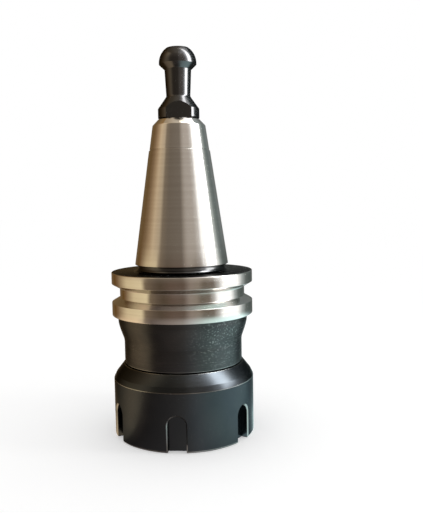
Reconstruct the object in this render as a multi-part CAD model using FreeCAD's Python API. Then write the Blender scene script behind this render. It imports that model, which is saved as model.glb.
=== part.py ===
import FreeCAD, Part
import math
import os

# A collet chuck holder for a milling or routing spindle. It stands on the front face of its clamping
# nut. Z is the spindle axis, and z = 0 is the nut's front face. Lengths are in millimetres, angles in
# degrees.

# The flange and the clamping nut are turned to one outer diameter
RIM_DIAMETER = 50.0

# The steep spindle taper, 7 in 24 on the diameter, and the flange below it
TAPER_PER_LENGTH = 7 / 24
GAUGE_DIAMETER = 31.75
GAUGE_ABOVE_FLANGE = 7.0
CONE_ABOVE_GAUGE = 45.9
CONE_END_DIAMETER = 14.6
CONE_END_CHAMFER = 2.1
CONE_END_RELIEF = 0.2
TURNED_LINE_BELOW_END = 10.4
TURNED_LINE_WIDTH = 0.4
TURNED_LINE_DEPTH = 0.3
NECK_DIAMETER = 30.6
NECK_HEIGHT = 2.3
FLANGE_WIDTH = 15.2
FLANGE_FACE_HEIGHT = 57.9
GROOVE_BELOW_FACE = 7.3
GROOVE_FLOOR_WIDTH = 3.3
GROOVE_DEPTH = 2.85
GROOVE_FLANK_ANGLE = 30.0
EDGE_BREAK = 0.35

# The chuck body below the flange, with the threaded nose that carries the nut
SHOULDER_DIAMETER = 46.0
SHOULDER_STRAIGHT = 1.8
SHOULDER_BLEND_RADIUS = 12.0
SHOULDER_SLOPE = 19.3
BODY_DIAMETER = 42.0
NOSE_THREAD_PITCH_DIAMETER = 39.026
NOSE_RELIEF_DIAMETER = 37.8
NOSE_RELIEF_WIDTH = 2.2
NOSE_CHAMFER = 1.0
NOSE_ABOVE_COLLET_RIM = 0.8
MOUTH_CHAMFER = 0.4

# The bores through the holder
SEAT_BEYOND_COLLET = 2.5
SHANK_BORE_DIAMETER = 21.5
SHANK_BORE_BEYOND_SEAT = 21.0
DRILL_POINT_ANGLE = 118.0
THROUGH_BORE_DIAMETER = 10.2
STUD_THREAD_PITCH_DIAMETER = 10.863
STUD_THREAD_DEPTH = 20.0
PILOT_DIAMETER = 13.0
PILOT_BORE_DEPTH = 5.5
PILOT_CHAMFER = 0.25

# The pull stud in the small end of the taper
PILOT_LENGTH = 5.0
STUD_THREAD_LENGTH = 15.0
STUD_THREAD_CHAMFER = 1.0
COLLAR_DIAMETER = 14.5
COLLAR_CHAMFER = 0.6
COLLAR_HEIGHT = 3.7
COLLAR_FLATS = 11.5
FLARE_HEIGHT = 4.3
NECK_FOOT_DIAMETER = 8.4
NECK_TOP_DIAMETER = 9.3
STUD_NECK_LENGTH = 9.2
HEAD_DIAMETER = 13.1
HEAD_UNDERCUT = 1.8
HEAD_RIM = 0.45
HEAD_CROWN_HEIGHT = 5.1
HEAD_CROWN_RADIUS = 6.3

# The slotted clamping nut
NUT_HEIGHT = 25.4
NUT_FACE_CHAMFER = 0.6
NUT_CROWN_HEIGHT = 5.3
NUT_CROWN_STEEP_HEIGHT = 1.8
NUT_CROWN_STEEP_ANGLE = 26.0
NUT_TOP_OVER_BODY = 0.35
NUT_TOP_GAP = 0.3
NUT_BORE_CHAMFER = 0.5
NUT_SLOT_COUNT = 6
NUT_SLOT_WIDTH = 6.3
NUT_SLOT_HEIGHT = 12.3
NUT_SLOT_DEPTH = 2.8
NUT_SLOT_EDGE = 0.4
NUT_SLOT_FIRST_ANGLE = -6.5

# The spring collet, which the nut presses into the holder and draws out again
COLLET_DIAMETER = 33.0
COLLET_LENGTH = 40.0
COLLET_HALF_ANGLE = 8.0
COLLET_SETBACK = 0.4
COLLET_NOSE_HALF_ANGLE = 30.0
COLLET_FRONT_DIAMETER = 26.4
COLLET_LIP_DIAMETER = 30.2
COLLET_LIP_LENGTH = 1.0
COLLET_GROOVE_DIAMETER = 28.0
COLLET_GROOVE_WIDTH = 2.4
COLLET_RIM_WIDTH = 0.5
COLLET_BORE = 12.0
COLLET_BORE_CHAMFER = 0.5
COLLET_SLIT_COUNT = 8
COLLET_SLIT_WIDTH = 1.0
COLLET_SLIT_WEB = 7.5

# Clearances between the pieces
CONE_CLEARANCE = 0.06
THREAD_CLEARANCE = 0.05
STUD_CLEARANCE = 0.03
NUT_AROUND_COLLET = 0.4
EXTRACTOR_SIDE_PLAY = 0.2
EXTRACTOR_LIP_PLAY = 0.2
EXTRACTOR_FLOOR_PLAY = 0.3

# Heights of the nut, the collet and the holder's nose
nut_crown_foot = NUT_HEIGHT - NUT_CROWN_HEIGHT
nose_slope = math.tan(math.radians(COLLET_NOSE_HALF_ANGLE))
collet_slope = math.tan(math.radians(COLLET_HALF_ANGLE))
collet_front = COLLET_SETBACK
lip_foot = collet_front + (COLLET_LIP_DIAMETER - COLLET_FRONT_DIAMETER) / 2 / nose_slope
groove_foot = lip_foot + COLLET_LIP_LENGTH
groove_top = groove_foot + COLLET_GROOVE_WIDTH
collet_rim_top = groove_top + COLLET_RIM_WIDTH
collet_back = collet_front + COLLET_LENGTH
nose_foot = collet_rim_top + NOSE_ABOVE_COLLET_RIM
body_foot = NUT_HEIGHT + NUT_TOP_GAP

# Heights of the holder and the pull stud
flange_face = FLANGE_FACE_HEIGHT
flange_foot = flange_face - FLANGE_WIDTH
groove_middle = flange_face - GROOVE_BELOW_FACE
cone_foot = flange_face + NECK_HEIGHT
gauge_height = flange_face + GAUGE_ABOVE_FLANGE
cone_end = gauge_height + CONE_ABOVE_GAUGE
seat_top = collet_back + SEAT_BEYOND_COLLET
shank_bore_top = seat_top + SHANK_BORE_BEYOND_SEAT
pilot_foot = cone_end - PILOT_BORE_DEPTH

AXIS = FreeCAD.Vector(0, 0, 1)
CENTRE = FreeCAD.Vector(0, 0, 0)


def spindle_cone(height):
    """Radius of the spindle taper at a height."""
    return (GAUGE_DIAMETER - (height - gauge_height) * TAPER_PER_LENGTH) / 2


def collet_cone(height):
    """Radius of the collet's long cone at a height."""
    return COLLET_DIAMETER / 2 - (height - collet_rim_top) * collet_slope


def collet_seat(height):
    """Radius of the seat that the collet's long cone is pressed into."""
    return collet_cone(height) + CONE_CLEARANCE / math.cos(math.radians(COLLET_HALF_ANGLE))


def nut_seat(height):
    """Radius of the nut's inner cone, which bears on the collet's nose cone."""
    nose = COLLET_FRONT_DIAMETER / 2 + (height - collet_front) * nose_slope
    return nose + CONE_CLEARANCE / math.cos(math.radians(COLLET_NOSE_HALF_ANGLE))


def turned(start, *runs):
    """Solid turned about the axis. A run is a (radius, height) point at the end of a straight line, or
    two such points, the first passed and the second reached by an arc. The last run closes the
    section."""
    edges = []
    here = start
    for run in runs + (start,):
        if isinstance(run[0], tuple):
            middle, end = (FreeCAD.Vector(r, 0, z) for r, z in run)
            edges.append(Part.Arc(FreeCAD.Vector(here[0], 0, here[1]), middle, end).toShape())
            here = run[1]
        else:
            ends = FreeCAD.Vector(here[0], 0, here[1]), FreeCAD.Vector(run[0], 0, run[1])
            edges.append(Part.makeLine(*ends))
            here = run
    return Part.Face(Part.Wire(edges)).revolve(CENTRE, AXIS, 360)


def round_the_axis(shape, count, first_angle=0.0):
    """Copies of a shape, evenly spaced round the axis."""
    copies = []
    for number in range(count):
        copy = shape.copy()
        copy.rotate(CENTRE, AXIS, first_angle + number * 360 / count)
        copies.append(copy)
    return copies


def spindle_taper_outline():
    """The outside of the neck and the spindle taper, from the flange's face to the small end."""
    end_radius = CONE_END_DIAMETER / 2
    line_top = cone_end - TURNED_LINE_BELOW_END
    line_foot = line_top - TURNED_LINE_WIDTH
    cone_top = cone_end - CONE_END_CHAMFER
    return [
        (NECK_DIAMETER / 2, flange_face),
        (NECK_DIAMETER / 2, cone_foot),
        (spindle_cone(cone_foot) - EDGE_BREAK, cone_foot),
        (spindle_cone(cone_foot + EDGE_BREAK), cone_foot + EDGE_BREAK),
        (spindle_cone(line_foot), line_foot),
        (spindle_cone(line_foot) - TURNED_LINE_DEPTH, line_foot),
        (spindle_cone(line_top) - TURNED_LINE_DEPTH, line_top),
        (spindle_cone(line_top) - CONE_END_RELIEF, line_top),
        (spindle_cone(cone_top) - CONE_END_RELIEF, cone_top),
        (end_radius, cone_end),
    ]


def flange_outline():
    """The flange's rim with the tool changer's V-groove, from its lower to its upper face."""
    rim = RIM_DIAMETER / 2
    floor = rim - GROOVE_DEPTH
    half_floor = GROOVE_FLOOR_WIDTH / 2
    half_mouth = half_floor + GROOVE_DEPTH * math.tan(math.radians(GROOVE_FLANK_ANGLE))
    return [
        (rim - EDGE_BREAK, flange_foot),
        (rim, flange_foot + EDGE_BREAK),
        (rim, groove_middle - half_mouth),
        (floor, groove_middle - half_floor),
        (floor, groove_middle + half_floor),
        (rim, groove_middle + half_mouth),
        (rim, flange_face - EDGE_BREAK),
        (rim - EDGE_BREAK, flange_face),
    ]


def chuck_body_outline():
    """The outside of the nose and the chuck body, from the mouth to the flange's lower face."""
    thread = NOSE_THREAD_PITCH_DIAMETER / 2
    relief = NOSE_RELIEF_DIAMETER / 2
    body = BODY_DIAMETER / 2
    shoulder = SHOULDER_DIAMETER / 2
    slope = math.radians(SHOULDER_SLOPE)
    blend_top = flange_foot - SHOULDER_STRAIGHT

    def blend(angle):
        fall = SHOULDER_BLEND_RADIUS * math.sin(angle)
        return shoulder - SHOULDER_BLEND_RADIUS * (1 - math.cos(angle)), blend_top - fall

    slope_top = blend(slope)
    slope_foot = slope_top[1] - (slope_top[0] - body) / math.tan(slope)
    return [
        (thread - NOSE_CHAMFER, nose_foot),
        (thread, nose_foot + NOSE_CHAMFER),
        (thread, body_foot - NOSE_RELIEF_WIDTH),
        (relief, body_foot - NOSE_RELIEF_WIDTH),
        (relief, body_foot),
        (body - EDGE_BREAK, body_foot),
        (body, body_foot + EDGE_BREAK),
        (body, slope_foot),
        slope_top,
        (blend(slope / 2), (shoulder, blend_top)),
        (shoulder, flange_foot),
    ]


def holder_bore_outline():
    """The inside of the holder, from the small end of the taper down to the mouth."""
    pilot = PILOT_DIAMETER / 2
    tapped = STUD_THREAD_PITCH_DIAMETER / 2
    through = THROUGH_BORE_DIAMETER / 2
    shank = SHANK_BORE_DIAMETER / 2
    point_height = (shank - through) / math.tan(math.radians(DRILL_POINT_ANGLE / 2))
    return [
        (pilot + PILOT_CHAMFER, cone_end),
        (pilot, cone_end - PILOT_CHAMFER),
        (pilot, pilot_foot),
        (tapped, pilot_foot),
        (tapped, pilot_foot - STUD_THREAD_DEPTH),
        (through, pilot_foot - STUD_THREAD_DEPTH),
        (through, shank_bore_top + point_height),
        (shank, shank_bore_top),
        (shank, seat_top),
        (collet_seat(seat_top), seat_top),
        (collet_seat(nose_foot + MOUTH_CHAMFER), nose_foot + MOUTH_CHAMFER),
        (collet_seat(nose_foot) + MOUTH_CHAMFER, nose_foot),
    ]


def holder_body():
    outline = chuck_body_outline() + flange_outline() + spindle_taper_outline()
    return turned(*outline, *holder_bore_outline())


def pull_stud():
    thread = STUD_THREAD_PITCH_DIAMETER / 2 - STUD_CLEARANCE
    pilot = PILOT_DIAMETER / 2 - STUD_CLEARANCE
    collar = COLLAR_DIAMETER / 2
    head = HEAD_DIAMETER / 2
    pilot_end = cone_end - PILOT_LENGTH
    thread_end = pilot_end - STUD_THREAD_LENGTH
    collar_top = cone_end + COLLAR_HEIGHT
    neck_foot = collar_top + FLARE_HEIGHT
    neck_top = neck_foot + STUD_NECK_LENGTH
    rim_foot = neck_top + HEAD_UNDERCUT
    rim_top = rim_foot + HEAD_RIM

    def crown(rise):
        inward = HEAD_CROWN_RADIUS - math.sqrt(HEAD_CROWN_RADIUS**2 - rise**2)
        return head - inward, rim_top + rise

    crown_edge = crown(HEAD_CROWN_HEIGHT)
    stud = turned(
        (0, thread_end),
        (thread - STUD_THREAD_CHAMFER, thread_end),
        (thread, thread_end + STUD_THREAD_CHAMFER),
        (thread, pilot_end),
        (pilot, pilot_end),
        (pilot, cone_end),
        (collar - COLLAR_CHAMFER, cone_end),
        (collar, cone_end + COLLAR_CHAMFER),
        (collar, collar_top),
        (NECK_FOOT_DIAMETER / 2, neck_foot),
        (NECK_TOP_DIAMETER / 2, neck_top),
        (head, rim_foot),
        (head, rim_top),
        (crown(HEAD_CROWN_HEIGHT / 2), crown_edge),
        (0, crown_edge[1]),
    )
    # the spanner flats cross the collar and run out in the flare above it
    beyond = FreeCAD.Vector(-collar, COLLAR_FLATS / 2, cone_end)
    flat = Part.makeBox(2 * collar, collar, COLLAR_HEIGHT + FLARE_HEIGHT, beyond)
    return stud.cut(round_the_axis(flat, 2))


def nut_slot():
    """Cutter for one spanner slot, on +X. It is open at the nut's face and round at its inner end."""
    half = NUT_SLOT_WIDTH / 2
    outside = RIM_DIAMETER / 2
    floor = outside - NUT_SLOT_DEPTH
    spring = NUT_SLOT_HEIGHT - half
    across = outside - floor + NUT_SLOT_EDGE
    along_x = FreeCAD.Vector(1, 0, 0)
    straight = Part.makeBox(across, NUT_SLOT_WIDTH, 2 * spring, FreeCAD.Vector(floor, -half, -spring))
    arch = Part.makeCylinder(half, across, FreeCAD.Vector(floor, 0, spring), along_x)
    # the broken edge widens both towards the outside
    drop = outside - math.sqrt(outside**2 - half**2)
    edge_start = outside - drop - NUT_SLOT_EDGE
    flare = drop + 2 * NUT_SLOT_EDGE
    flare_base = FreeCAD.Vector(edge_start, 0, spring)
    edge_arch = Part.makeCone(half, half + flare, flare, flare_base, along_x)
    corners = [
        (edge_start, -half),
        (edge_start + flare, -half - flare),
        (edge_start + flare, half + flare),
        (edge_start, half),
        (edge_start, -half),
    ]
    wedge = Part.Face(Part.makePolygon([FreeCAD.Vector(x, y, -spring) for x, y in corners]))
    edge_straight = wedge.extrude(AXIS * (2 * spring))
    return straight.fuse([arch, edge_arch, edge_straight])


def extractor_rib():
    """The nut's off-centre rib, which lies in the collet's groove on one side and draws it out."""
    reach = COLLET_GROOVE_DIAMETER / 2 + EXTRACTOR_FLOOR_PLAY
    bore = COLLET_LIP_DIAMETER / 2 + EXTRACTOR_LIP_PLAY
    height = COLLET_GROOVE_WIDTH - 2 * EXTRACTOR_SIDE_PLAY
    foot = groove_foot + EXTRACTOR_SIDE_PLAY
    outer = Part.makeCylinder(NOSE_THREAD_PITCH_DIAMETER / 2, height, AXIS * foot)
    offset = FreeCAD.Vector(bore - reach, 0, foot)
    return outer.cut(Part.makeCylinder(bore, height, offset))


def clamping_nut():
    outside = RIM_DIAMETER / 2
    top = BODY_DIAMETER / 2 + NUT_TOP_OVER_BODY
    thread = NOSE_THREAD_PITCH_DIAMETER / 2 + THREAD_CLEARANCE
    around_collet = COLLET_DIAMETER / 2 + NUT_AROUND_COLLET
    rib_foot = groove_foot + EXTRACTOR_SIDE_PLAY
    lip_bore = nut_seat(lip_foot)
    steep_top = nut_crown_foot + NUT_CROWN_STEEP_HEIGHT
    steep_width = NUT_CROWN_STEEP_HEIGHT * math.tan(math.radians(NUT_CROWN_STEEP_ANGLE))
    nut = turned(
        (nut_seat(0), 0),
        (outside - NUT_FACE_CHAMFER, 0),
        (outside, NUT_FACE_CHAMFER),
        (outside, nut_crown_foot),
        (outside - steep_width, steep_top),
        (top, NUT_HEIGHT),
        (thread + NUT_BORE_CHAMFER, NUT_HEIGHT),
        (thread, NUT_HEIGHT - NUT_BORE_CHAMFER),
        (thread, collet_rim_top),
        (around_collet, collet_rim_top),
        (around_collet, rib_foot),
        (lip_bore, rib_foot),
        (lip_bore, lip_foot),
    )
    slots = round_the_axis(nut_slot(), NUT_SLOT_COUNT, NUT_SLOT_FIRST_ANGLE - 90)
    return nut.cut(slots).fuse(extractor_rib()).removeSplitter()


def collet_slits(foot, height, first_angle):
    """Cutters for one set of slits, each from the bore out through the wall."""
    reach = COLLET_DIAMETER / 2 + COLLET_SLIT_WIDTH
    corner = FreeCAD.Vector(0, -COLLET_SLIT_WIDTH / 2, foot)
    slit = Part.makeBox(reach, COLLET_SLIT_WIDTH, height, corner)
    return round_the_axis(slit, COLLET_SLIT_COUNT, first_angle)


def spring_collet():
    bore = COLLET_BORE / 2
    chamfer = COLLET_BORE_CHAMFER
    rim = COLLET_DIAMETER / 2
    collet = turned(
        (bore + chamfer, collet_front),
        (COLLET_FRONT_DIAMETER / 2, collet_front),
        (COLLET_LIP_DIAMETER / 2, lip_foot),
        (COLLET_LIP_DIAMETER / 2, groove_foot),
        (COLLET_GROOVE_DIAMETER / 2, groove_foot),
        (COLLET_GROOVE_DIAMETER / 2, groove_top),
        (rim, groove_top),
        (rim, collet_rim_top),
        (collet_cone(collet_back - chamfer), collet_back - chamfer),
        (collet_cone(collet_back) - chamfer, collet_back),
        (bore + chamfer, collet_back),
        (bore, collet_back - chamfer),
        (bore, collet_front + chamfer),
    )
    # one set of slits is open at the front and the other at the back, so each end stays whole
    height = COLLET_LENGTH - COLLET_SLIT_WEB + COLLET_SLIT_WIDTH
    half_step = 180 / COLLET_SLIT_COUNT
    front_set = collet_slits(collet_front - COLLET_SLIT_WIDTH, height, 0)
    back_set = collet_slits(collet_front + COLLET_SLIT_WEB, height, half_step)
    return collet.cut(front_set + back_set)


os.makedirs("parts", exist_ok=True)
for piece in (holder_body, pull_stud, clamping_nut, spring_collet):
    solid = piece()
    solid.exportStep(f"parts/{piece.__name__}.step")
    print(f"{piece.__name__}: {len(solid.Solids)} solid, {solid.Volume / 1000:.2f} cm3, valid {solid.isValid()}")
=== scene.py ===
from math import cos, pi, radians, sin, sqrt, tan
import bpy
from mathutils import Matrix, Vector


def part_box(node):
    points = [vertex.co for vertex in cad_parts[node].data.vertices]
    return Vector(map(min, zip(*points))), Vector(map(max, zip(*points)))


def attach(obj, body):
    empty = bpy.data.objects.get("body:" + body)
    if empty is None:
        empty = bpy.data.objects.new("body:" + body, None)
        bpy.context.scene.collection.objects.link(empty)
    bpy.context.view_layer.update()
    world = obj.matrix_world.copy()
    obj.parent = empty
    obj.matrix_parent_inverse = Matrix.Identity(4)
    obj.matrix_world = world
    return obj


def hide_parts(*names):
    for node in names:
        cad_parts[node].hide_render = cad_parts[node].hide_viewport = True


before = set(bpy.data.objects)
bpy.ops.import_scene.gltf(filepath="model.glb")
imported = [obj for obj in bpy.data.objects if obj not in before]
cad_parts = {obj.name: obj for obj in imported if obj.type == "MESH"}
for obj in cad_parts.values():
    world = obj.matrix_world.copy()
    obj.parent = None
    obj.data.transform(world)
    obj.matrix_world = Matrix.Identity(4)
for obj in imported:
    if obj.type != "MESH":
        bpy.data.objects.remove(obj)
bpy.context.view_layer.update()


# The holder is one steel turning: a 7 in 24 taper, a flange with a V-groove for the tool changer, and
# the chuck body with its bored and threaded nose. It is turned all over and blacked, and then the
# taper, the flange's rim and the collet's seat are ground bright.
MM = 0.001
rim_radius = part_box("holder_body")[1][0] / MM
cone_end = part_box("holder_body")[1][2] / MM
nose_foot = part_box("holder_body")[0][2] / MM
flange_face = 57.9
flange_foot = 42.7
cone_foot = 60.2
gauge_radius = 15.875
gauge_height = 64.9
groove_middle = 50.6
groove_floor = 22.15
neck_radius = 15.3
shoulder_radius = 23.0
body_radius = 21.0
body_foot = 25.7
thread_root = 19.08
relief_radius = 18.9
seat_slope = tan(radians(8))
seat_radius = 16.5 + 0.06
seat_height = 7.59
seat_top = 42.9
mouth_radius = 18.51
spindle_line_depth = 0.3
tip_relief = 0.2
tip_chamfer = 2.1
stud_bore = 6.5
stud_bore_floor = 105.3
stud_thread_bore = 5.43
stud_thread_floor = 85.3
through_bore = 5.1
pocket_radius = 10.75
pocket_top = 63.9


def cone(height):
    """Radius of the spindle taper at a height."""
    return gauge_radius - (height - gauge_height) * 7 / 48


def seat(height):
    """Radius of the collet's seat at a height."""
    return seat_radius - (height - seat_height) * seat_slope


def rounded(corners, steps=4):
    """A section's corners, in order. One given as (radius, height, round) becomes a short arc."""
    points = []
    for number, (radius, height, *size) in enumerate(corners):
        here = Vector((radius, height))
        if not size:
            points.append(here)
            continue
        before = (Vector(corners[number - 1][:2]) - here).normalized()
        after = (Vector(corners[(number + 1) % len(corners)][:2]) - here).normalized()
        half = before.angle(after) / 2
        centre = here + (before + after).normalized() * size[0] / sin(half)
        start = here + before * size[0] / tan(half) - centre
        end = here + after * size[0] / tan(half) - centre
        turn = start.angle_signed(end)
        for step in range(steps + 1):
            points.append(centre + Matrix.Rotation(-turn * step / steps, 2) @ start)
    return points


def edit(piece):
    """Opens one piece in edit mode with everything on it selected."""
    bpy.ops.object.select_all(action="DESELECT")
    piece.select_set(True)
    bpy.context.view_layer.objects.active = piece
    bpy.ops.object.mode_set(mode="EDIT")
    bpy.ops.mesh.select_all(action="SELECT")


def close_up():
    """Merges the seam, turns the faces outwards and leaves edit mode."""
    bpy.ops.mesh.select_all(action="SELECT")
    bpy.ops.mesh.remove_doubles(threshold=0.000002)
    bpy.ops.mesh.normals_make_consistent(inside=False)
    bpy.ops.object.mode_set(mode="OBJECT")


def turned(name, corners, around=256):
    """A piece turned from its section: the outline is drawn point by point and spun round the axis."""
    points = rounded(corners)
    bpy.ops.object.select_all(action="DESELECT")
    bpy.ops.mesh.primitive_plane_add(size=MM)
    piece = bpy.context.object
    piece.name = piece.data.name = name
    edit(piece)
    bpy.ops.mesh.merge(type="CENTER")
    here = Vector((0, 0))
    for number, point in enumerate(points + points[:1]):
        step = (point - here) * MM
        if number == 0:
            bpy.ops.transform.translate(value=(step.x, 0, step.y))
        else:
            bpy.ops.mesh.extrude_region_move(TRANSFORM_OT_translate={"value": (step.x, 0, step.y)})
        here = point
    bpy.ops.mesh.select_all(action="SELECT")
    bpy.ops.mesh.spin(steps=around, angle=2 * pi, center=(0, 0, 0), axis=(0, 0, 1))
    close_up()
    bpy.ops.object.shade_smooth_by_angle(angle=radians(18))
    return piece


half_mouth = 1.65 + (rim_radius - groove_floor) * tan(radians(30))
line_foot = cone_end - 10.8
line_top = cone_end - 10.4
holder_section = [
    (mouth_radius, nose_foot),
    (thread_root, nose_foot + 1.0),
    (thread_root, body_foot - 2.2),
    (relief_radius, body_foot - 1.9, 0.3),
    (relief_radius, body_foot, 0.4),
    (body_radius, body_foot, 0.3),
    (body_radius, 33.9, 6.0),
    (22.3, 37.6),
    (22.62, 38.7),
    (22.9, 39.9),
    (shoulder_radius, 40.9),
    (shoulder_radius, flange_foot, 0.25),
    (rim_radius, flange_foot, 0.3),
    (rim_radius, groove_middle - half_mouth, 0.12),
    (groove_floor, groove_middle - 1.65, 0.2),
    (groove_floor, groove_middle + 1.65, 0.2),
    (rim_radius, groove_middle + half_mouth, 0.12),
    (rim_radius, flange_face, 0.3),
    (neck_radius, flange_face, 1.9),
    (neck_radius, cone_foot, 0.15),
    (cone(cone_foot), cone_foot, 0.3),
    (cone(line_foot), line_foot, 0.06),
    (cone(line_foot) - spindle_line_depth, line_foot + 0.05),
    (cone(line_top) - spindle_line_depth, line_top - 0.05),
    (cone(line_top) - tip_relief, line_top, 0.05),
    (cone(cone_end - tip_chamfer) - tip_relief, cone_end - tip_chamfer, 0.5),
    (7.3, cone_end, 0.2),
    (stud_bore + 0.1, cone_end),
    (stud_bore, cone_end - 0.25),
    (stud_bore, stud_bore_floor),
    (stud_thread_bore, stud_bore_floor),
    (stud_thread_bore, stud_thread_floor),
    (through_bore, stud_thread_floor),
    (through_bore, 67.3),
    (pocket_radius, pocket_top),
    (pocket_radius, seat_top),
    (seat(seat_top), seat_top),
    (seat(nose_foot + 0.4), nose_foot + 0.4, 0.1),
    (seat(nose_foot) + 0.4, nose_foot),
]
holder = turned("holder", holder_section)


def socket(group, name, kind, value=None, out=False):
    """Adds a named input or output to a node group."""
    made = group.interface.new_socket(name, in_out="OUTPUT" if out else "INPUT", socket_type=kind)
    if value is not None:
        made.default_value = value


def wire(tree, node_type, inputs, **settings):
    """Adds a node. An input is given by its name or number, as a value or as another node's output."""
    node = tree.nodes.new(node_type)
    for key, value in settings.items():
        setattr(node, key, value)
    for key, value in inputs.items():
        if isinstance(value, bpy.types.NodeSocket):
            tree.links.new(value, node.inputs[key])
        else:
            node.inputs[key].default_value = value
    return node


def maths(tree, operation, *values, clamp=False):
    """A Math node's output."""
    node = wire(tree, "ShaderNodeMath", dict(enumerate(values)), operation=operation, use_clamp=clamp)
    return node.outputs[0]


def stretch(tree, value, low, high, to_low=0.0, to_high=1.0):
    """Maps a value from one range to another and stops at its ends."""
    inputs = {0: value, 1: low, 2: high, 3: to_low, 4: to_high}
    return wire(tree, "ShaderNodeMapRange", inputs, interpolation_type="SMOOTHSTEP").outputs[0]


# Fine lines that run round a turned or ground surface, with a slower drift along them
tool_lines = bpy.data.node_groups.new("tool_lines", "ShaderNodeTree")
socket(tool_lines, "Lines per mm", "NodeSocketFloat", 6.0)
socket(tool_lines, "Length in mm", "NodeSocketFloat", 20.0)
socket(tool_lines, "Lines", "NodeSocketFloat", out=True)
socket(tool_lines, "Drift", "NodeSocketFloat", out=True)
given = tool_lines.nodes.new("NodeGroupInput").outputs
place = tool_lines.nodes.new("ShaderNodeTexCoord").outputs["Object"]
along = maths(tool_lines, "DIVIDE", 1000.0, given["Length in mm"])
across = maths(tool_lines, "MULTIPLY", 1000.0, given["Lines per mm"])
scale = wire(tool_lines, "ShaderNodeCombineXYZ", {0: along, 1: along, 2: across}).outputs[0]
spot = wire(tool_lines, "ShaderNodeVectorMath", {0: place, 1: scale}, operation="MULTIPLY").outputs[0]
fine = wire(tool_lines, "ShaderNodeTexNoise", {"Vector": spot, "Scale": 1.0, "Detail": 3.0})
slow_inputs = {"Vector": spot, "Scale": 0.11, "Detail": 2.0}
slow = wire(tool_lines, "ShaderNodeTexNoise", slow_inputs)
outlet = tool_lines.nodes.new("NodeGroupOutput").inputs
tool_lines.links.new(fine.outputs[0], outlet["Lines"])
tool_lines.links.new(slow.outputs[0], outlet["Drift"])

# Small specks and scuffs from handling, thick in some places and missing in others
handling = bpy.data.node_groups.new("handling_marks", "ShaderNodeTree")
socket(handling, "Specks per mm", "NodeSocketFloat", 1.4)
socket(handling, "Amount", "NodeSocketFloat", 0.5)
socket(handling, "Scuffed spot", "NodeSocketVector", (0, 0, 1))
socket(handling, "Spot radius", "NodeSocketFloat", 0.01)
socket(handling, "Specks", "NodeSocketFloat", out=True)
socket(handling, "Patches", "NodeSocketFloat", out=True)
given = handling.nodes.new("NodeGroupInput").outputs
place = handling.nodes.new("ShaderNodeTexCoord").outputs["Object"]
speck_scale = maths(handling, "MULTIPLY", 1000.0, given["Specks per mm"])
dots = wire(handling, "ShaderNodeTexNoise", {"Vector": place, "Scale": speck_scale, "Detail": 1.0})
patch = wire(handling, "ShaderNodeTexNoise", {"Vector": place, "Scale": 85.0, "Detail": 3.0})
least = maths(handling, "MULTIPLY_ADD", given["Amount"], -0.12, 0.74)
most = maths(handling, "ADD", least, 0.05)
sharp = stretch(handling, dots.outputs[0], least, most)
here_and_there = stretch(handling, patch.outputs[0], 0.48, 0.66)
reach = wire(handling, "ShaderNodeVectorMath", {0: place, 1: given["Scuffed spot"]}, operation="DISTANCE")
near = maths(handling, "DIVIDE", reach.outputs["Value"], given["Spot radius"])
scuffed = stretch(handling, near, 1.6, 0.4)
thick = maths(handling, "MAXIMUM", maths(handling, "MULTIPLY", here_and_there, 0.25), scuffed)
outlet = handling.nodes.new("NodeGroupOutput").inputs
handling.links.new(maths(handling, "MULTIPLY", sharp, thick), outlet["Specks"])
handling.links.new(patch.outputs[0], outlet["Patches"])


def new_material(name):
    """An empty material with its Principled shader."""
    material = bpy.data.materials.new(name)
    material.use_nodes = True
    return material, material.node_tree, material.node_tree.nodes["Principled BSDF"]


def group(tree, made, **inputs):
    """Places a node group in a material."""
    node = tree.nodes.new("ShaderNodeGroup")
    node.node_tree = made
    for name, value in inputs.items():
        node.inputs[name.replace("_", " ")].default_value = value
    return node.outputs


def blend_colour(tree, amount, low, high):
    """A colour between two others."""
    node = wire(tree, "ShaderNodeMix", {0: amount}, data_type="RGBA")
    for socket_number, colour in ((6, low), (7, high)):
        if isinstance(colour, bpy.types.NodeSocket):
            tree.links.new(colour, node.inputs[socket_number])
        else:
            node.inputs[socket_number].default_value = (*colour, 1)
    return node.outputs[2]


def bright_steel(name, low, high, lines_per_mm, depth, smooth, rough):
    """Bare steel that is ground or turned round the axis. Depth is in metres."""
    material, tree, steel = new_material(name)
    lines = group(tree, tool_lines, Lines_per_mm=lines_per_mm, Length_in_mm=25.0)
    marks = group(tree, handling, Specks_per_mm=1.1, Amount=0.35)
    tone = blend_colour(tree, stretch(tree, lines["Drift"], 0.35, 0.65), low, high)
    tone = blend_colour(tree, maths(tree, "MULTIPLY", marks["Specks"], 0.4), tone, (0.85, 0.84, 0.82))
    tree.links.new(tone, steel.inputs["Base Color"])
    grind = stretch(tree, lines["Lines"], 0.3, 0.7, smooth, rough)
    cloudy = stretch(tree, marks["Patches"], 0.35, 0.7, 0.0, 0.05)
    tree.links.new(maths(tree, "ADD", grind, cloudy), steel.inputs["Roughness"])
    steel.inputs["Metallic"].default_value = 1.0
    steel.inputs["Anisotropic"].default_value = 0.75
    steel.inputs["Anisotropic Rotation"].default_value = 0.25
    bump_inputs = {"Height": lines["Lines"], "Strength": 1.0, "Distance": depth}
    bump = wire(tree, "ShaderNodeBump", bump_inputs)
    tree.links.new(bump.outputs[0], steel.inputs["Normal"])
    return material


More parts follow.
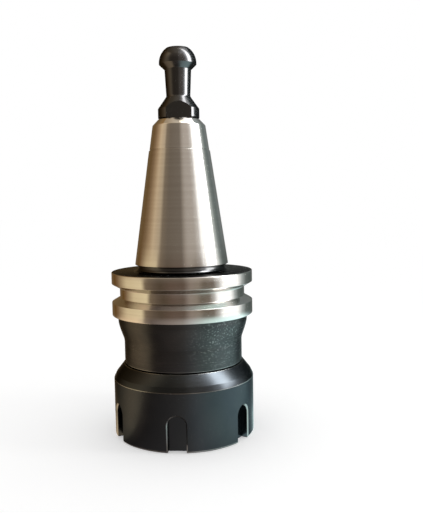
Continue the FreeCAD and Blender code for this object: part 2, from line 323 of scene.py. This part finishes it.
def black_oxide(
    name, low, high, smooth, rough, lines_per_mm, depth, specks, spot=(0, 0, 1), spot_radius=0.01
):
    """Blacked steel: a thin dark oxide over turned steel, oiled, with scuffed specks round a spot. Marked
    edge faces are lightened, partly worn oxide and partly a painted highlight.
    """
    material, tree, oxide = new_material(name)
    lines = group(tree, tool_lines, Lines_per_mm=lines_per_mm, Length_in_mm=12.0)
    marks = group(
        tree, handling, Specks_per_mm=1.9, Amount=specks, Scuffed_spot=spot, Spot_radius=spot_radius
    )
    tone = blend_colour(tree, stretch(tree, marks["Patches"], 0.35, 0.65), low, high)
    tone = blend_colour(tree, maths(tree, "MULTIPLY", marks["Specks"], 0.5), tone, (0.3, 0.3, 0.29))
    # edge faces marked on the piece are lightened: partly worn oxide, partly a painted highlight that
    # strengthens the light lines on the chamfers
    edge = wire(tree, "ShaderNodeAttribute", {}, attribute_name="worn_and_highlit_edge").outputs["Fac"]
    edge_wear_and_highlight_amount = stretch(tree, marks["Patches"], 0.3, 0.6, 0.5, 1.0)
    tone = blend_colour(tree, maths(tree, "MULTIPLY", edge, edge_wear_and_highlight_amount), tone, (0.34, 0.34, 0.33))
    tree.links.new(tone, oxide.inputs["Base Color"])
    streak = stretch(tree, lines["Drift"], 0.3, 0.7, smooth, rough)
    tree.links.new(streak, oxide.inputs["Roughness"])
    oxide.inputs["Metallic"].default_value = 1.0
    oxide.inputs["Specular Tint"].default_value = (0.4, 0.4, 0.4, 1)
    bump_inputs = {"Height": lines["Lines"], "Strength": 1.0, "Distance": depth}
    bump = wire(tree, "ShaderNodeBump", bump_inputs)
    tree.links.new(bump.outputs[0], oxide.inputs["Normal"])
    return material


ground_steel = bright_steel(
    "ground_steel",
    low=(0.585, 0.56, 0.53),
    high=(0.62, 0.6, 0.57),
    lines_per_mm=7.0,
    depth=0.15e-6,
    smooth=0.09,
    rough=0.13,
)
turned_steel = bright_steel(
    "turned_steel",
    low=(0.64, 0.61, 0.58),
    high=(0.68, 0.66, 0.63),
    lines_per_mm=4.0,
    depth=0.2e-6,
    smooth=0.08,
    rough=0.11,
)
holder_black = black_oxide(
    "holder_black",
    low=(0.052, 0.053, 0.054),
    high=(0.068, 0.067, 0.066),
    smooth=0.22,
    rough=0.3,
    lines_per_mm=5.0,
    depth=1e-6,
    specks=1.1,
    spot=(0.0125, -0.0165, 0.036),
    spot_radius=0.0095,
)
stud_black = black_oxide(
    "stud_black",
    low=(0.075, 0.075, 0.077),
    high=(0.09, 0.09, 0.09),
    smooth=0.15,
    rough=0.2,
    lines_per_mm=6.0,
    depth=0.6e-6,
    specks=0.35,
)


def face_places(piece):
    """Every face with the radius and height of its middle, in mm."""
    for face in piece.data.polygons:
        middle = face.center / MM
        yield face, sqrt(middle.x**2 + middle.y**2), middle.z


def mark_worn_and_highlit_edges(piece, test):
    """Marks the faces on a piece's edges that are lightened: the oxide worn thin there, with a painted
    highlight on top.
    """
    worn_and_highlit_edge = piece.data.attributes.new("worn_and_highlit_edge", "FLOAT", "FACE")
    for face, radius, height in face_places(piece):
        worn_and_highlit_edge.data[face.index].value = 1.0 if test(face, radius, height) else 0.0


# the body's foot edge is lightened: worn oxide with a painted highlight line
mark_worn_and_highlit_edges(holder, lambda face, radius, height: abs(height - body_foot) < 0.3 and radius > body_radius - 0.35)
for material in (holder_black, ground_steel, turned_steel, stud_black):
    holder.data.materials.append(material)
for face, radius, height in face_places(holder):
    taper = height > cone_foot + 0.02 and radius > 7.0
    rim = flange_foot + 0.05 < height < flange_face - 0.05 and radius > groove_floor - 0.05
    seat_wall = nose_foot + 0.3 < height < seat_top and radius < seat(height) + 0.05
    face.material_index = 1 if taper or rim or seat_wall else 0
    if taper and height > line_foot + 0.2:
        face.material_index = 2
    if flange_face - 0.01 < height < cone_foot - 0.05 and 14 < radius < neck_radius + 1.9:
        face.material_index = 3
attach(holder, "holder")
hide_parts("holder_body")


# The thread on the holder's nose: a right-hand M40 thread of 1.5 mm pitch, cut after turning. It runs
# out at both ends.
thread_pitch = 1.5
thread_crest = 19.95


def thread_ridge(name, root, crest, foot_width, crest_width, start, end, run_out=40, steps=96):
    """A screw thread's helical ridge between two heights, in mm. It sinks into its root at both ends."""
    sink = root + (0.04 if crest < root else -0.04)
    bpy.ops.object.select_all(action="DESELECT")
    bpy.ops.mesh.primitive_plane_add(size=MM)
    ridge = bpy.context.object
    ridge.name = ridge.data.name = name
    section = (sink, -foot_width), (crest, -crest_width), (sink, foot_width), (crest, crest_width)
    for vertex, (radius, width) in zip(ridge.data.vertices, section):
        vertex.co = Vector((radius, 0, start + width / 2)) * MM
    edit(ridge)
    bpy.ops.mesh.delete(type="ONLY_FACE")
    bpy.ops.object.mode_set(mode="OBJECT")
    turns = (end - start) / thread_pitch
    wind = ridge.modifiers.new("wind", "SCREW")
    wind.angle = 2 * pi * turns
    wind.screw_offset = (end - start) * MM
    wind.steps = wind.render_steps = int(steps * turns)
    bpy.ops.object.modifier_apply(modifier=wind.name)
    last = len(ridge.data.vertices) // 4 - 1
    for vertex in ridge.data.vertices:
        along = vertex.index // 4
        share = min(1, along / run_out, (last - along) / run_out)
        radius = sqrt(vertex.co.x**2 + vertex.co.y**2) / MM
        scale = (sink + (radius - sink) * share) / radius
        vertex.co.x *= scale
        vertex.co.y *= scale
    edit(ridge)
    bpy.ops.mesh.fill_holes(sides=4)
    close_up()
    bpy.ops.object.shade_smooth_by_angle(angle=radians(25))
    return ridge


nose_thread_start = nose_foot + 0.9
nose_thread = thread_ridge(
    "nose_thread",
    thread_root,
    thread_crest,
    foot_width=1.19,
    crest_width=0.19,
    start=nose_thread_start,
    end=body_foot - 2.3,
)
nose_thread.data.materials.append(holder_black)
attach(nose_thread, "holder")


# The pull stud is screwed into the small end of the taper. It is turned from alloy steel, hardened and
# blacked to a gloss, with two spanner flats milled across its collar.
stud_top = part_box("pull_stud")[1][2] / MM
collar_radius = 7.25
collar_top = cone_end + 3.7
neck_foot = collar_top + 4.3
neck_top = neck_foot + 9.2
head_radius = 6.55
head_rim = neck_top + 1.8
crown_radius = 6.3
shank_radius = 5.4
shank_foot = 85.4
pilot_radius = 6.47
pilot_foot = 105.8


def crown(rise):
    """A point on the head's domed crown at a height above its rim."""
    return head_radius - crown_radius + sqrt(crown_radius**2 - rise**2), head_rim + 0.45 + rise


stud_section = [
    (0, shank_foot),
    (4.4, shank_foot),
    (shank_radius, 86.4),
    (shank_radius, pilot_foot),
    (pilot_radius, pilot_foot),
    (pilot_radius, cone_end),
    (collar_radius - 0.6, cone_end, 0.15),
    (collar_radius, cone_end + 0.6, 0.3),
    (collar_radius, collar_top, 0.25),
    (4.2, neck_foot, 1.2),
    (4.65, neck_top, 0.5),
    (head_radius, head_rim, 0.2),
    (head_radius, head_rim + 0.45, 0.15),
    *[crown(rise) for rise in (0.7, 1.4, 2.1, 2.8, 3.4, 3.9, 4.3, 4.65)],
    (*crown(5.1), 0.35),
    (0, stud_top),
]
stud = turned("stud", stud_section)


def cut(piece, cutter):
    """Cuts one shape out of a piece and removes the cutter."""
    bpy.ops.object.select_all(action="DESELECT")
    piece.select_set(True)
    bpy.context.view_layer.objects.active = piece
    knife = piece.modifiers.new("cut", "BOOLEAN")
    knife.object = cutter
    knife.solver = "EXACT"
    bpy.ops.object.modifier_apply(modifier=knife.name)
    bpy.data.objects.remove(cutter)
    edit(piece)
    close_up()
    bpy.ops.object.shade_smooth_by_angle(angle=radians(18))


def round_the_axis(shape, count, first_angle):
    """Copies a shape evenly round the axis and joins the copies. Angles are in degrees."""
    copies = []
    for number in range(count):
        copy = shape.copy()
        copy.data = shape.data.copy()
        copy.data.transform(Matrix.Rotation(radians(first_angle + number * 360 / count), 4, "Z"))
        bpy.context.scene.collection.objects.link(copy)
        copies.append(copy)
    bpy.data.objects.remove(shape)
    bpy.ops.object.select_all(action="DESELECT")
    for copy in copies:
        copy.select_set(True)
    bpy.context.view_layer.objects.active = copies[0]
    bpy.ops.object.join()
    return copies[0]


def block(low, high):
    """A box between two corners in mm, as a cutter."""
    bpy.ops.object.select_all(action="DESELECT")
    bpy.ops.mesh.primitive_cube_add(size=1)
    cutter = bpy.context.object
    middle, size = (Vector(low) + Vector(high)) / 2 * MM, (Vector(high) - Vector(low)) * MM
    cutter.data.transform(Matrix.Translation(middle) @ Matrix.Diagonal((*size, 1)))
    return cutter


flat = block((-8, -8.5, cone_end + 0.001), (8, -5.75, neck_foot))
cut(stud, round_the_axis(flat, 2, 0))
stud.data.materials.append(stud_black)
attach(stud, "holder")
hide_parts("pull_stud")


# The clamping nut is a blacked steel turning with six round-topped spanner slots milled in its rim,
# each with its edges broken. An off-centre rib inside it draws the collet out of its seat.
nut_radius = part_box("clamping_nut")[1][0] / MM
nut_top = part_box("clamping_nut")[1][2] / MM
crown_foot = nut_top - 5.3
nut_thread_root = 20.02
slot_half = 3.15
slot_floor = nut_radius - 2.8
slot_spring = 12.3 - slot_half
slot_edge = 0.4
nose_cone = tan(radians(30))
lip_foot = 3.69
rib_foot = 4.89
rib_top = 6.89
rib_radius = 14.3
rib_bore_radius = 15.3
rib_offset = 1.0
recess_radius = 16.9
recess_top = 7.59
slot_count = 6
first_slot_angle = -6.5


def nut_seat(height):
    """Radius of the nut's inner cone at a height."""
    return 13.2 + (height - 0.4) * nose_cone + 0.07


nut_section = [
    (nut_seat(0), 0, 0.1),
    (nut_radius - 0.6, 0, 0.2),
    (nut_radius, 0.6, 0.5),
    (nut_radius, crown_foot, 0.8),
    (nut_radius - 0.88, crown_foot + 1.8, 0.8),
    (21.35, nut_top, 0.3),
    (nut_thread_root + 0.5, nut_top, 0.1),
    (nut_thread_root, nut_top - 0.5),
    (nut_thread_root, recess_top),
    (recess_radius, recess_top),
    (recess_radius, rib_top),
    (rib_radius, rib_top),
    (rib_radius, rib_foot),
    (nut_seat(lip_foot), rib_foot),
    (nut_seat(lip_foot), lip_foot),
]
nut = turned("nut", nut_section)
bpy.ops.object.select_all(action="DESELECT")
bpy.ops.mesh.primitive_cylinder_add(vertices=96, radius=rib_bore_radius * MM, depth=2.4 * MM)
rib_bore = bpy.context.object
rib_bore.data.transform(Matrix.Translation((rib_offset * MM, 0, (rib_foot + rib_top) / 2 * MM)))
cut(nut, rib_bore)

# one slot's cutter: a round arch whose lower half is drawn down past the nut's face, flared outside
drop = nut_radius - sqrt(nut_radius**2 - slot_half**2)
flare_start = nut_radius - drop - slot_edge
flare = drop + 2 * slot_edge
bpy.ops.object.select_all(action="DESELECT")
bpy.ops.mesh.primitive_cylinder_add(vertices=64, radius=slot_half * MM, depth=(flare_start - slot_floor) * MM)
slot = bpy.context.object
slot.data.transform(Matrix.Rotation(radians(90), 4, "X"))
slot.data.transform(Matrix.Translation((0, -(flare_start + slot_floor) / 2 * MM, slot_spring * MM)))
edit(slot)
bpy.ops.mesh.select_all(action="DESELECT")
bpy.ops.mesh.select_mode(type="FACE")
bpy.ops.object.mode_set(mode="OBJECT")
for face in slot.data.polygons:
    face.select = face.normal.y < -0.9
bpy.ops.object.mode_set(mode="EDIT")
bpy.ops.mesh.extrude_region_move(TRANSFORM_OT_translate={"value": (0, -flare * MM, 0)})
widen = (slot_half + flare) / slot_half
arch_centre = (0, -(flare_start + flare) * MM, slot_spring * MM)
bpy.ops.transform.resize(value=(widen, 1, widen), center_override=arch_centre)
bpy.ops.mesh.select_mode(type="VERT")
bpy.ops.object.mode_set(mode="OBJECT")
for vertex in slot.data.vertices:
    if vertex.co.z < (slot_spring - 0.001) * MM:
        vertex.co.z -= 2 * slot_spring * MM
cut(nut, round_the_axis(slot, slot_count, first_slot_angle))


def nut_edge(face, radius, height):
    """True on the nut's broken edges: those of its face, crown and slots."""
    if abs(height - crown_foot) < 0.08 or (height > nut_top - 0.2 and radius > 21.0):
        return True
    outward = (face.normal.x * face.center.x + face.normal.y * face.center.y) / radius / MM
    return radius > slot_floor + 1.9 and height < 12.9 and 0.1 < outward < 0.97


# the nut's face, crown and slot edges are lightened: worn oxide with painted highlight lines
mark_worn_and_highlit_edges(nut, nut_edge)
nut_black = black_oxide(
    "nut_black",
    low=(0.044, 0.05, 0.056),
    high=(0.052, 0.057, 0.062),
    smooth=0.17,
    rough=0.27,
    lines_per_mm=1.8,
    depth=2e-6,
    specks=0.5,
)
nut.data.materials.append(nut_black)
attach(nut, "nut")
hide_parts("clamping_nut")

nut_thread_start = nose_thread_start - thread_pitch / 2
nut_thread = thread_ridge(
    "nut_thread",
    nut_thread_root,
    crest=19.2,
    foot_width=1.29,
    crest_width=0.36,
    start=nut_thread_start,
    end=nut_top - 1.0,
)
nut_thread.data.materials.append(nut_black)
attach(nut_thread, "nut")


# The spring collet is hardened spring steel, ground on its long cone and its nose cone. Eight slits
# are sawn from each end, and the groove behind its nose takes the nut's rib.
collet_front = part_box("spring_collet")[0][2] / MM
collet_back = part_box("spring_collet")[1][2] / MM
groove_foot = 4.69
groove_top = 7.09
slit_web = 7.5
slit_half = 0.5
slits_each_way = 8
collet_bore = 6.0
bore_chamfer = 0.5
nose_radius = 15.1
nose_end_radius = 13.2
collet_groove_radius = 14.0


def collet_cone(height):
    """Radius of the collet's long cone at a height."""
    return 16.5 - (height - seat_height) * seat_slope


collet_section = [
    (collet_bore + bore_chamfer, collet_front, 0.1),
    (nose_end_radius, collet_front, 0.1),
    (nose_radius, lip_foot, 0.1),
    (nose_radius, groove_foot, 0.1),
    (collet_groove_radius, groove_foot, 0.1),
    (collet_groove_radius, groove_top, 0.1),
    (collet_cone(seat_height), groove_top, 0.1),
    (collet_cone(seat_height), seat_height, 0.1),
    (collet_cone(collet_back - 0.5), collet_back - 0.5, 0.1),
    (collet_cone(collet_back) - 0.5, collet_back, 0.1),
    (collet_bore + bore_chamfer, collet_back, 0.1),
    (collet_bore, collet_back - bore_chamfer, 0.1),
    (collet_bore, collet_front + bore_chamfer, 0.1),
]
collet = turned("collet", collet_section)
front_slit = block((4.0, -slit_half, collet_front - 1), (18, slit_half, collet_back - slit_web))
cut(collet, round_the_axis(front_slit, slits_each_way, 0))
back_slit = block((4.0, -slit_half, collet_front + slit_web), (18, slit_half, collet_back + 1))
cut(collet, round_the_axis(back_slit, slits_each_way, 22.5))
collet_steel = bright_steel(
    "collet_steel",
    low=(0.50, 0.49, 0.47),
    high=(0.60, 0.59, 0.57),
    lines_per_mm=5.0,
    depth=2e-6,
    smooth=0.2,
    rough=0.3,
)
collet.data.materials.append(collet_steel)
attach(collet, "collet")
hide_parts("spring_collet")


# The floor is a plain pale sheet. It shows white to the camera and in the metal, and keeps the
# holder's shadow.
floor_glow = 0.28
bpy.ops.object.select_all(action="DESELECT")
bpy.ops.mesh.primitive_plane_add(size=6)
floor = bpy.context.object
floor.name = "floor"
pale, tree, _ = new_material("pale_floor")
tree.nodes.clear()
paper = wire(tree, "ShaderNodeBsdfDiffuse", {"Color": (0.8, 0.8, 0.8, 1)}).outputs[0]
path = tree.nodes.new("ShaderNodeLightPath").outputs
seen = maths(tree, "ADD", path["Is Camera Ray"], path["Is Glossy Ray"])
seen = maths(tree, "ADD", seen, path["Is Transmission Ray"], clamp=True)
glow_strength = maths(tree, "MULTIPLY", seen, floor_glow)
glow = wire(tree, "ShaderNodeEmission", {"Strength": glow_strength}).outputs[0]
both = wire(tree, "ShaderNodeAddShader", {0: paper, 1: glow}).outputs[0]
wire(tree, "ShaderNodeOutputMaterial", {"Surface": both})
floor.data.materials.append(pale)

# The sky is level and white. It is a little dimmer where it only lights things.
world = bpy.data.worlds.new("studio")
bpy.context.scene.world = world
world.use_nodes = True
tree = world.node_tree
path = tree.nodes.new("ShaderNodeLightPath").outputs
seen = maths(tree, "ADD", path["Is Camera Ray"], path["Is Glossy Ray"])
seen = maths(tree, "ADD", seen, path["Is Transmission Ray"], clamp=True)
sky = stretch(tree, seen, 0, 1, 0.9, 1.0)
tree.links.new(sky, tree.nodes["Background"].inputs["Strength"])
tree.nodes["Background"].inputs["Color"].default_value = (1, 1, 1, 1)

# Coloured cards stand in a ring round the holder, where only the metal sees them. They glow, with a room's
# light painted on
# them: a warm wall on the left, a dark doorway in front, a window on the right and a green-grey wall behind
# it.
# A card is given as (bearing of its edge in degrees, colour). Bearings run from behind, so 180 is the front.
card_distance = 0.15
card_height = 0.32
window_gain = 8.0
cards_low = [
    (0, (0.17, 0.11, 0.05)),
    (36, (0.19, 0.12, 0.06)),
    (50, (0.16, 0.08, 0.02)),
    (62, (0.27, 0.16, 0.08)),
    (74, (0.52, 0.38, 0.22)),
    (88, (0.92, 0.74, 0.45)),
    (117, (1.06, 0.88, 0.55)),
    (124, (0.27, 0.2, 0.13)),
    (138, (0.165, 0.12, 0.085)),
    (148, (0.12, 0.085, 0.055)),
    (165, (0.17, 0.115, 0.085)),
    (182, (0.17, 0.12, 0.09)),
    (192, (0.38, 0.31, 0.26)),
    (203, (0.36, 0.3, 0.24)),
    (212, (0.2, 0.16, 0.12)),
    (226, (0.24, 0.19, 0.15)),
    (235, (0.75, 0.73, 0.69)),
    (243, (1.75, 1.78, 1.8)),
    (272, (1.75, 1.78, 1.8)),
    (284, (0.6, 0.66, 0.66)),
    (296, (0.18, 0.21, 0.2)),
    (312, (0.11, 0.13, 0.125)),
    (345, (0.14, 0.15, 0.14)),
]
cards_table = [
    (0, (0.3, 0.26, 0.2)),
    (36, (0.25, 0.17, 0.09)),
    (50, (0.3, 0.2, 0.11)),
    (60, (0.55, 0.4, 0.24)),
    (72, (1.0, 0.74, 0.47)),
    (90, (1.15, 0.86, 0.55)),
    (106, (1.25, 0.95, 0.63)),
    (116, (0.95, 0.76, 0.52)),
    (121, (0.36, 0.28, 0.22)),
    (132, (0.2, 0.16, 0.14)),
    (163, (0.38, 0.32, 0.29)),
    (180, (0.46, 0.42, 0.39)),
    (193, (0.7, 0.72, 0.72)),
    (224, (1.0, 1.3, 1.26)),
    (246, (1.26, 1.66, 1.7)),
    (285, (1.6, 2.2, 2.2)),
    (298, (1.05, 1.4, 1.45)),
    (312, (0.6, 0.8, 0.82)),
    (335, (0.45, 0.55, 0.55)),
]
cards_high = [
    (0, (0.17, 0.12, 0.06)),
    (58, (0.2, 0.12, 0.05)),
    (75, (0.3, 0.19, 0.1)),
    (90, (0.52, 0.36, 0.21)),
    (104, (0.78, 0.6, 0.39)),
    (122, (0.62, 0.5, 0.35)),
    (129, (0.29, 0.23, 0.165)),
    (145, (0.22, 0.18, 0.14)),
    (180, (0.25, 0.21, 0.17)),
    (190, (0.5, 0.44, 0.38)),
    (196, (0.58, 0.52, 0.46)),
    (214, (0.62, 0.56, 0.5)),
    (225, (0.88, 0.84, 0.8)),
    (232, (1.75, 1.75, 1.75)),
    (264, (1.75, 1.78, 1.8)),
    (276, (0.75, 0.82, 0.82)),
    (287, (0.3, 0.35, 0.34)),
    (300, (0.19, 0.23, 0.23)),
    (318, (0.24, 0.27, 0.27)),
    (345, (0.16, 0.17, 0.16)),
]
bpy.ops.object.select_all(action="DESELECT")
bpy.ops.mesh.primitive_cylinder_add(vertices=128, radius=card_distance, depth=card_height)
room = bpy.context.object
room.data.transform(Matrix.Translation((0, 0, card_height / 2 + 0.0002)))
room.name = "cards"
# the cards' material is an emission: painted room light, seen only in the metal
room_glow, tree, _ = new_material("painted_room_light")
tree.nodes.clear()
place = tree.nodes.new("ShaderNodeTexCoord").outputs["Object"]
axes = wire(tree, "ShaderNodeSeparateXYZ", {0: place}).outputs
bearing = maths(tree, "ARCTAN2", axes["X"], maths(tree, "MULTIPLY", axes["Y"], -1.0))
bearing = maths(tree, "MULTIPLY_ADD", bearing, 1 / (2 * pi), 0.5)


def card_colours(cards):
    """The cards' colours by their bearing, counted from behind the holder."""
    ramp = wire(tree, "ShaderNodeValToRGB", {0: bearing})
    stops = ramp.color_ramp.elements
    for number, (edge, colour) in enumerate(cards):
        stop = stops[number] if number < 2 else stops.new(edge / 360)
        stop.position = edge / 360
        stop.color = (*colour, 1)
    return ramp.outputs[0]


rise = stretch(tree, axes["Z"], 0.045, 0.075)
wall = blend_colour(tree, rise, card_colours(cards_low), card_colours(cards_high))
above_table = stretch(tree, axes["Z"], 0.004, 0.016)
shown = blend_colour(tree, above_table, card_colours(cards_table), wall)

# the closed top is warm and dim on the left and white on the right
left_half = blend_colour(tree, stretch(tree, axes["X"], -0.12, 0.0), (0.27, 0.21, 0.14), (0.42, 0.37, 0.3))
ceiling = blend_colour(tree, stretch(tree, axes["X"], 0.0, 0.1), left_half, (1.4, 1.4, 1.4))
shown = blend_colour(tree, stretch(tree, axes["Z"], 0.31, 0.318), shown, ceiling)

# the window's pane is far brighter than its wall, and the wall brightens towards the top
pane = maths(tree, "MULTIPLY", stretch(tree, bearing, 0.665, 0.69), stretch(tree, bearing, 0.76, 0.74))
pane = maths(tree, "MULTIPLY", pane, stretch(tree, axes["Z"], 0.06, 0.09))
wall_strength = stretch(tree, axes["Z"], 0.18, 0.28, 1.0, 1.8)
strength = maths(tree, "MULTIPLY_ADD", pane, window_gain, wall_strength)
light = wire(tree, "ShaderNodeEmission", {"Color": shown, "Strength": strength}).outputs[0]
wire(tree, "ShaderNodeOutputMaterial", {"Surface": light})
room_glow.cycles.emission_sampling = "NONE"
room.data.materials.append(room_glow)
room.visible_camera = room.visible_diffuse = room.visible_shadow = False


def soft_lamp(name, bearing_degrees, distance, height, aim, size, radiance):
    """An area lamp at a bearing from the front. Its radiance is what it shows in a mirror."""
    lamp = bpy.data.lights.new(name, "AREA")
    lamp.shape = "RECTANGLE"
    lamp.size, lamp.size_y = size
    lamp.energy = radiance * size[0] * size[1] * pi * pi / 4 * 1.27
    stand = bpy.data.objects.new(name, lamp)
    bpy.context.scene.collection.objects.link(stand)
    turn = radians(bearing_degrees)
    where = Vector((sin(turn) * distance, -cos(turn) * distance, height))
    look = Vector((0, 0, aim)) - where
    stand.matrix_world = Matrix.Translation(where) @ look.to_track_quat("-Z", "Y").to_matrix().to_4x4()
    return stand


soft_lamp(
    "window_lamp",
    bearing_degrees=72,
    distance=0.145,
    height=0.2,
    aim=0.02,
    size=(0.03, 0.1),
    radiance=5.0,
)

# The camera stands in front, a little above the flange, and looks slightly down at the holder.
camera_distance = 0.22696
camera_height = 0.08145
look_down = 0.0833
look_right = 0.0470
lean = -0.0168
focal_share = 1.50473
ahead = Vector((sin(look_right) * cos(look_down), cos(look_right) * cos(look_down), -sin(look_down)))
level = Vector((cos(look_right), -sin(look_right), 0))
upright = level.cross(ahead)
right_edge = cos(lean) * level + sin(lean) * upright
top_edge = cos(lean) * upright - sin(lean) * level
lens = bpy.data.cameras.new("camera")
lens.sensor_fit = "HORIZONTAL"
lens.sensor_width = 36
lens.lens = focal_share * lens.sensor_width
lens.clip_start = 0.01
camera = bpy.data.objects.new("camera", lens)
bpy.context.scene.collection.objects.link(camera)
pose = Matrix((right_edge, top_edge, -ahead)).transposed().to_4x4()
pose.translation = Vector((0, -camera_distance, camera_height))
camera.matrix_world = pose
bpy.context.scene.camera = camera
bpy.context.scene.view_settings.view_transform = "Standard"
